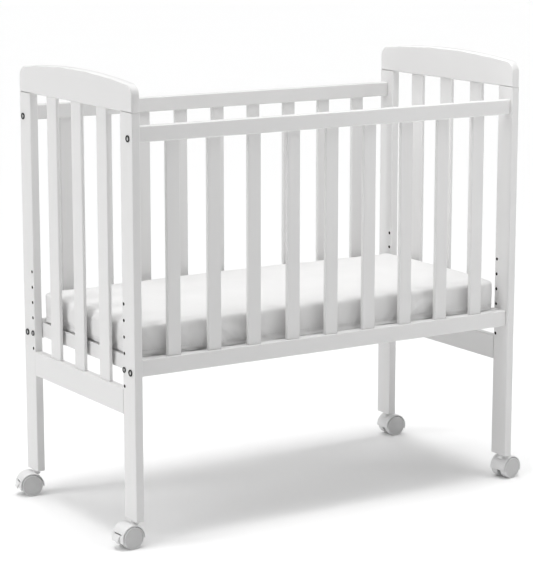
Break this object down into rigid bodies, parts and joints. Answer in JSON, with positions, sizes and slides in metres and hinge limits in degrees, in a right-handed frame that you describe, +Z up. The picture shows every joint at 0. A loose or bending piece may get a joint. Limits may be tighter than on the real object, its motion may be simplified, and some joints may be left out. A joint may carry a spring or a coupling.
{
  "type": "baby crib",
  "caption": "Compact slatted baby crib with arched end panels, adjustable mattress base, mattress and locking twin-wheel casters.",
  "frame": {"origin": "on the floor, at the middle of the footprint (bounding box bottom centre)", "axes": "+X along the crib from the end with the braked casters to the other end, +Y from front to rear, +Z up"},
  "size_m": [1.002, 0.484, 0.922],
  "materials": {
    "white_paint": "satin white paint on solid wood",
    "mattress_cloth": "off-white woven cotton cover",
    "bolt_steel": "blackened steel",
    "caster_white": "white moulded nylon",
    "wheel_grey": "light grey moulded plastic"
  },
  "bodies": {
    "crib_frame": {"front_left_post": "white_paint", "rear_left_post": "white_paint", "left_arch_rail": "white_paint", "left_lower_rail": "white_paint", "left_end_slat_1": "white_paint", "left_end_slat_2": "white_paint", "left_end_slat_3": "white_paint", "front_right_post": "white_paint", "rear_right_post": "white_paint", "right_arch_rail": "white_paint", "right_lower_rail": "white_paint", "right_end_slat_1": "white_paint", "right_end_slat_2": "white_paint", "right_end_slat_3": "white_paint", "front_top_rail": "white_paint", "front_bottom_rail": "white_paint", "front_slat_1": "white_paint", "front_slat_2": "white_paint", "front_slat_3": "white_paint", "front_slat_4": "white_paint", "front_slat_5": "white_paint", "front_slat_6": "white_paint", "front_slat_7": "white_paint", "front_slat_8": "white_paint", "front_slat_9": "white_paint", "rear_top_rail": "white_paint", "rear_bottom_rail": "white_paint", "rear_slat_1": "white_paint", "rear_slat_2": "white_paint", "rear_slat_3": "white_paint", "rear_slat_4": "white_paint", "rear_slat_5": "white_paint", "rear_slat_6": "white_paint", "rear_slat_7": "white_paint", "rear_slat_8": "white_paint", "rear_slat_9": "white_paint", "front_left_top_bolt": "bolt_steel", "front_left_bottom_bolt": "bolt_steel", "rear_left_top_bolt": "bolt_steel", "rear_left_bottom_bolt": "bolt_steel", "front_right_top_bolt": "bolt_steel", "front_right_bottom_bolt": "bolt_steel", "rear_right_top_bolt": "bolt_steel", "rear_right_bottom_bolt": "bolt_steel"},
    "mattress_base": {"mattress_base": "white_paint"},
    "mattress": {"mattress": "mattress_cloth"},
    "front_left_caster": {"front_left_caster_hood": "caster_white"},
    "front_left_front_wheel": {"front_left_front_wheel": "wheel_grey"},
    "front_left_rear_wheel": {"front_left_rear_wheel": "wheel_grey"},
    "front_left_brake_pedal": {"front_left_brake_pedal": "caster_white"},
    "rear_left_caster": {"rear_left_caster_hood": "caster_white"},
    "rear_left_front_wheel": {"rear_left_front_wheel": "wheel_grey"},
    "rear_left_rear_wheel": {"rear_left_rear_wheel": "wheel_grey"},
    "rear_left_brake_pedal": {"rear_left_brake_pedal": "caster_white"},
    "front_right_caster": {"front_right_caster_hood": "caster_white"},
    "front_right_front_wheel": {"front_right_front_wheel": "wheel_grey"},
    "front_right_rear_wheel": {"front_right_rear_wheel": "wheel_grey"},
    "rear_right_caster": {"rear_right_caster_hood": "caster_white"},
    "rear_right_front_wheel": {"rear_right_front_wheel": "wheel_grey"},
    "rear_right_rear_wheel": {"rear_right_rear_wheel": "wheel_grey"}
  },
  "joints": [
    {"name": "base_height", "type": "slide", "parent": "crib_frame", "child": "mattress_base", "axis": [0, 0, 1], "range_m": [-0.0326, 0.1304]},
    {"name": "mattress_lift_out", "type": "slide", "parent": "mattress_base", "child": "mattress", "axis": [0, 0, 1], "range_m": [0, 0.5]},
    {"name": "front_left_swivel", "type": "hinge", "parent": "crib_frame", "child": "front_left_caster", "pos_m": [-0.45427, -0.21796, 0.054], "axis": [0, 0, 1], "continuous": true},
    {"name": "front_left_front_wheel_spin", "type": "hinge", "parent": "front_left_caster", "child": "front_left_front_wheel", "pos_m": [-0.46875, -0.21882, 0.0225], "axis": [0.0593, -0.9982, 0], "continuous": true},
    {"name": "front_left_rear_wheel_spin", "type": "hinge", "parent": "front_left_caster", "child": "front_left_rear_wheel", "pos_m": [-0.46875, -0.21882, 0.0225], "axis": [0.0593, -0.9982, 0], "continuous": true},
    {"name": "front_left_brake", "type": "hinge", "parent": "front_left_caster", "child": "front_left_brake_pedal", "pos_m": [-0.48772, -0.21995, 0.0225], "axis": [0.0593, -0.9982, 0], "range_deg": [0, 18]},
    {"name": "rear_left_swivel", "type": "hinge", "parent": "crib_frame", "child": "rear_left_caster", "pos_m": [-0.45427, 0.21404, 0.054], "axis": [0, 0, 1], "continuous": true},
    {"name": "rear_left_front_wheel_spin", "type": "hinge", "parent": "rear_left_caster", "child": "rear_left_front_wheel", "pos_m": [-0.46851, 0.21681, 0.0225], "axis": [-0.1908, -0.9816, 0], "continuous": true},
    {"name": "rear_left_rear_wheel_spin", "type": "hinge", "parent": "rear_left_caster", "child": "rear_left_rear_wheel", "pos_m": [-0.46851, 0.21681, 0.0225], "axis": [-0.1908, -0.9816, 0], "continuous": true},
    {"name": "rear_left_brake", "type": "hinge", "parent": "rear_left_caster", "child": "rear_left_brake_pedal", "pos_m": [-0.48716, 0.22043, 0.0225], "axis": [-0.1908, -0.9816, 0], "range_deg": [0, 18]},
    {"name": "front_right_swivel", "type": "hinge", "parent": "crib_frame", "child": "front_right_caster", "pos_m": [0.45773, -0.21796, 0.054], "axis": [0, 0, 1], "continuous": true},
    {"name": "front_right_front_wheel_spin", "type": "hinge", "parent": "front_right_caster", "child": "front_right_front_wheel", "pos_m": [0.47208, -0.21594, 0.0225], "axis": [-0.1392, 0.9903, 0], "continuous": true},
    {"name": "front_right_rear_wheel_spin", "type": "hinge", "parent": "front_right_caster", "child": "front_right_rear_wheel", "pos_m": [0.47208, -0.21594, 0.0225], "axis": [-0.1392, 0.9903, 0], "continuous": true},
    {"name": "rear_right_swivel", "type": "hinge", "parent": "crib_frame", "child": "rear_right_caster", "pos_m": [0.45773, 0.21404, 0.054], "axis": [0, 0, 1], "continuous": true},
    {"name": "rear_right_front_wheel_spin", "type": "hinge", "parent": "rear_right_caster", "child": "rear_right_front_wheel", "pos_m": [0.47222, 0.21353, 0.0225], "axis": [0.0349, 0.9994, 0], "continuous": true},
    {"name": "rear_right_rear_wheel_spin", "type": "hinge", "parent": "rear_right_caster", "child": "rear_right_rear_wheel", "pos_m": [0.47222, 0.21353, 0.0225], "axis": [0.0349, 0.9994, 0], "continuous": true}
  ]
}
